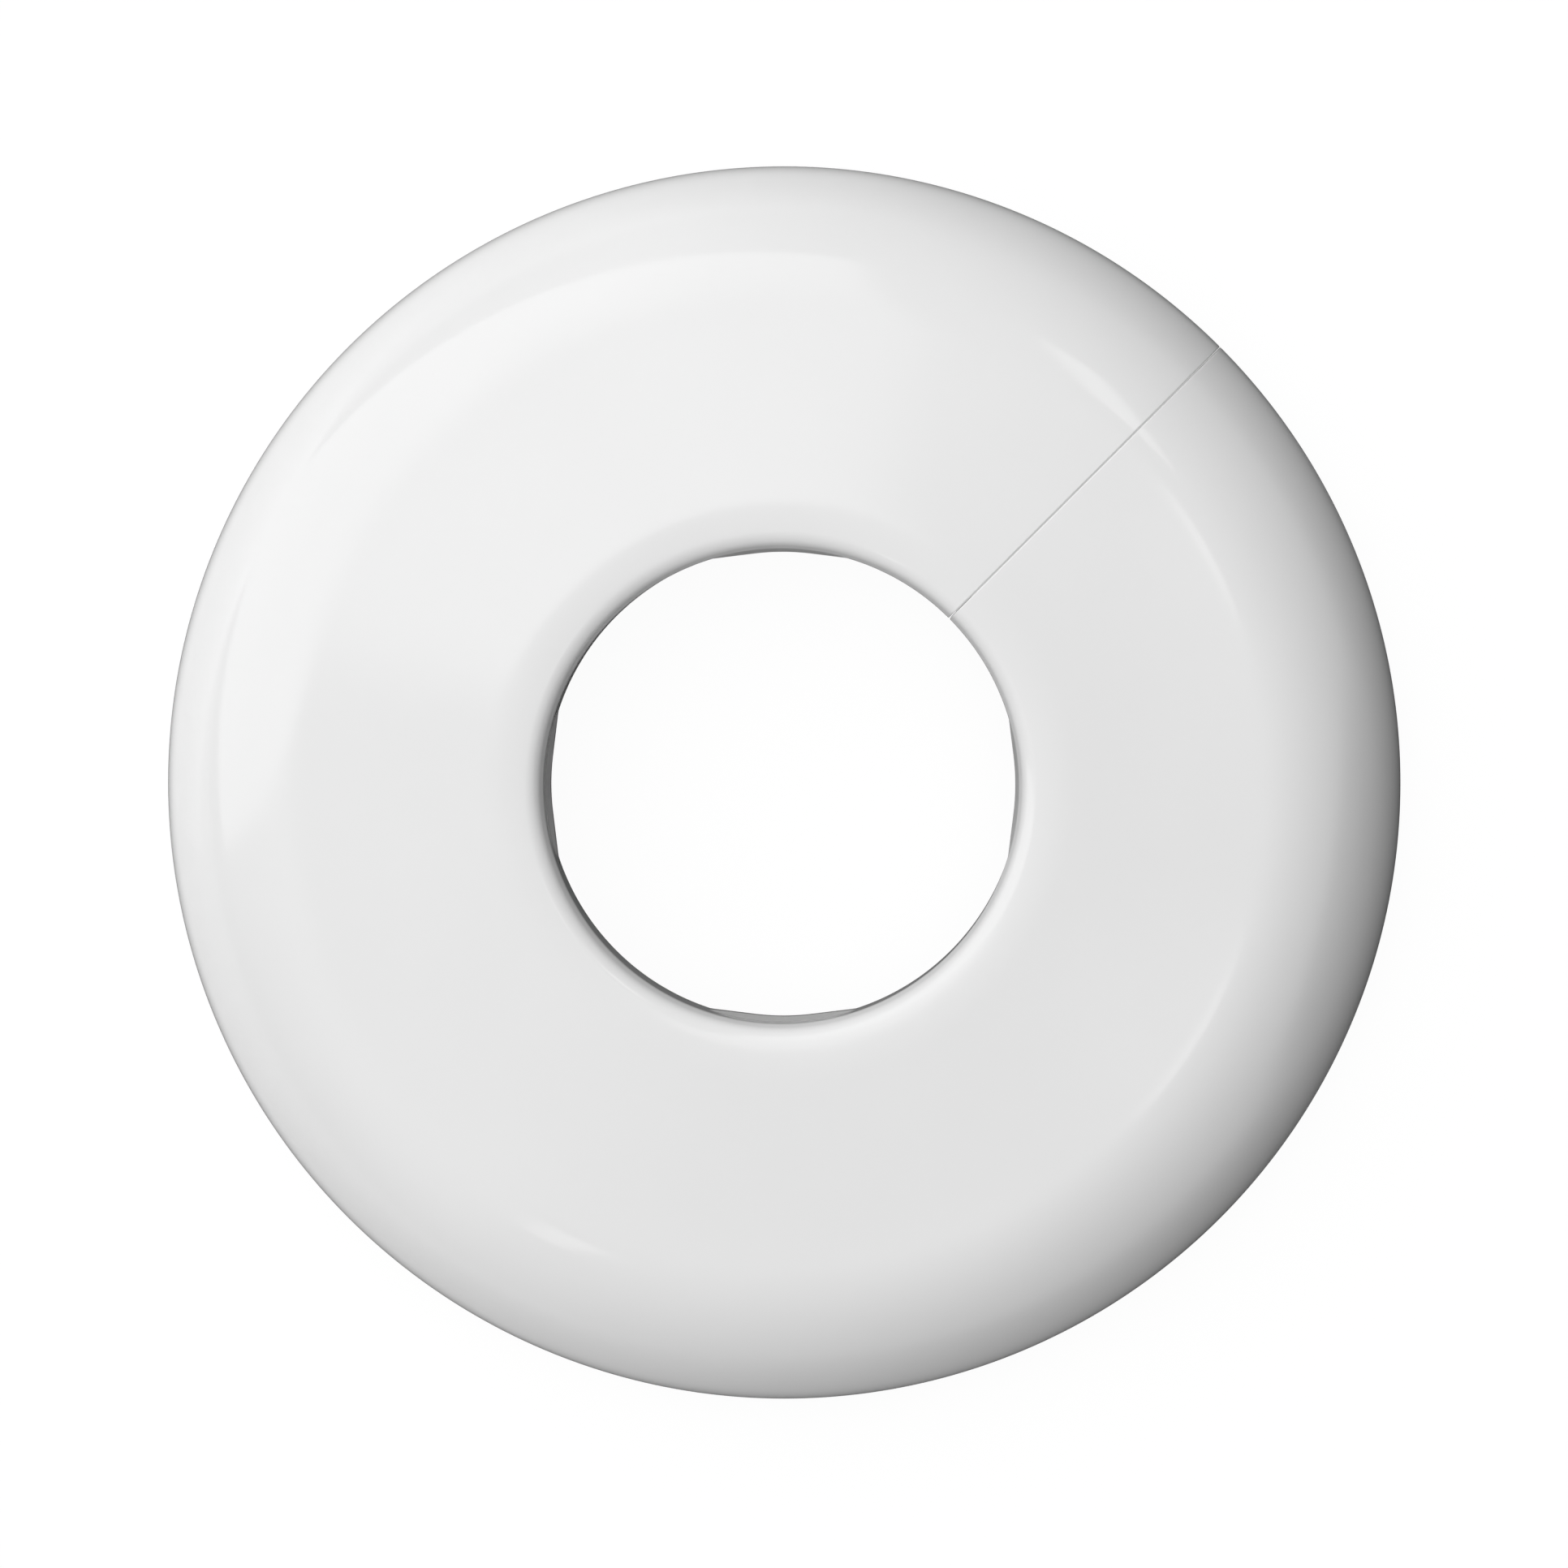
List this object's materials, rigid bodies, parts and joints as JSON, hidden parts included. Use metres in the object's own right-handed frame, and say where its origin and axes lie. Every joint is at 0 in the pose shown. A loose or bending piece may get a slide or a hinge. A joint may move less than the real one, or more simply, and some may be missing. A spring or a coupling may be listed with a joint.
{
  "type": "pipe escutcheon",
  "caption": "Round split collar moulded in glossy white plastic, with a hollow back: it springs open round a pipe and covers the hole where the pipe leaves a wall.",
  "frame": {"origin": "centre of the back plane that lies against the wall, on the pipe's axis", "axes": "+Z away from the wall along the pipe; the grip pads lie on X and Y, and the slit lies between +X and +Y"},
  "size_m": [0.0584, 0.0584, 0.0092],
  "materials": {
    "white_plastic": "gloss, moulded in the colour"
  },
  "bodies": {
    "root": {"split_ring": "white_plastic"}
  },
  "joints": []
}
